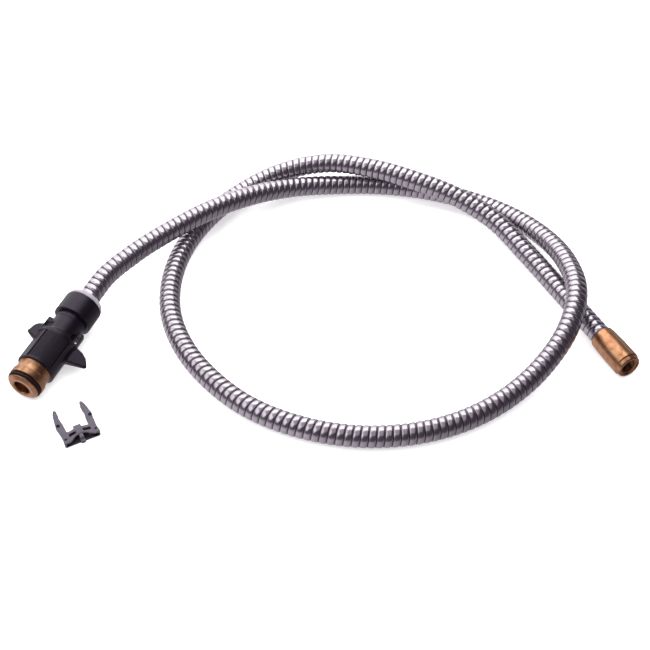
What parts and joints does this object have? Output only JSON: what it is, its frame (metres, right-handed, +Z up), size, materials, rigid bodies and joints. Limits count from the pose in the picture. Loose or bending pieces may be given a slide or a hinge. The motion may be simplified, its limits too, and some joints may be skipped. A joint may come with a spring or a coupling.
{
  "type": "sprayer hose with quick coupling",
  "caption": "Strip-wound metal water hose in a loose loop, with a winged quick coupling and O-ring plug at one end, a swivel sleeve at the other and a loose locking clip.",
  "frame": {"origin": "on the table, at the centre of the box round the two end fittings and the clip", "axes": "+X from the inlet coupling to the outlet sleeve, +Y away from the viewer, +Z up"},
  "size_m": [0.4233, 0.276, 0.0326],
  "materials": {
    "wound_strip": "polished strip-wound stainless steel",
    "liner": "matt",
    "black_plastic": "satin moulded",
    "grey_plastic": "satin moulded",
    "white_plastic": "satin moulded",
    "clip_plastic": "satin moulded",
    "brass_parts": "turned",
    "seal_rubber": "matt",
    "spring_steel": "bright wire",
    "ferrule_metal": "pressed stainless steel"
  },
  "bodies": {
    "hose": {"hose_cover": "wound_strip", "hose_liner": "liner", "hose_stem": "brass_parts", "stem_o_rings": "seal_rubber", "inlet_ferrule": "ferrule_metal", "guide_ring": "grey_plastic", "outlet_nipple": "brass_parts", "outlet_ferrule": "ferrule_metal", "outlet_washer": "seal_rubber"},
    "coupling": {"coupling_body": "black_plastic", "coupling_collar": "black_plastic", "spigot": "brass_parts", "spigot_o_ring": "seal_rubber", "spigot_seal": "seal_rubber", "valve_cage": "white_plastic", "valve_ring": "spring_steel", "valve_spring": "spring_steel"},
    "valve": {"valve_poppet": "white_plastic", "valve_seal": "seal_rubber"},
    "outlet": {"outlet_sleeve": "brass_parts"},
    "clip": {"locking_clip": "clip_plastic"}
  },
  "joints": [
    {"name": "coupling_turn", "type": "hinge", "parent": "hose", "child": "coupling", "pos_m": [-0.17692, 0.03293, 0.01698], "axis": [0.4171, 0.9047, 0.0867], "continuous": true},
    {"name": "valve_open", "type": "slide", "parent": "coupling", "child": "valve", "axis": [0.4171, 0.9047, 0.0867], "range_m": [0, 0.0025], "stiffness_N_per_m": 150, "springref_m": -0.002, "deforming": ["valve_spring"]},
    {"name": "outlet_turn", "type": "hinge", "parent": "hose", "child": "outlet", "pos_m": [0.19806, 0.01438, 0.0094], "axis": [0.4472, -0.8944, 0], "continuous": true},
    {"name": "clip_lift", "type": "slide", "parent": "hose", "child": "clip", "axis": [0, 0, 1], "range_m": [0, 0.06]}
  ]
}
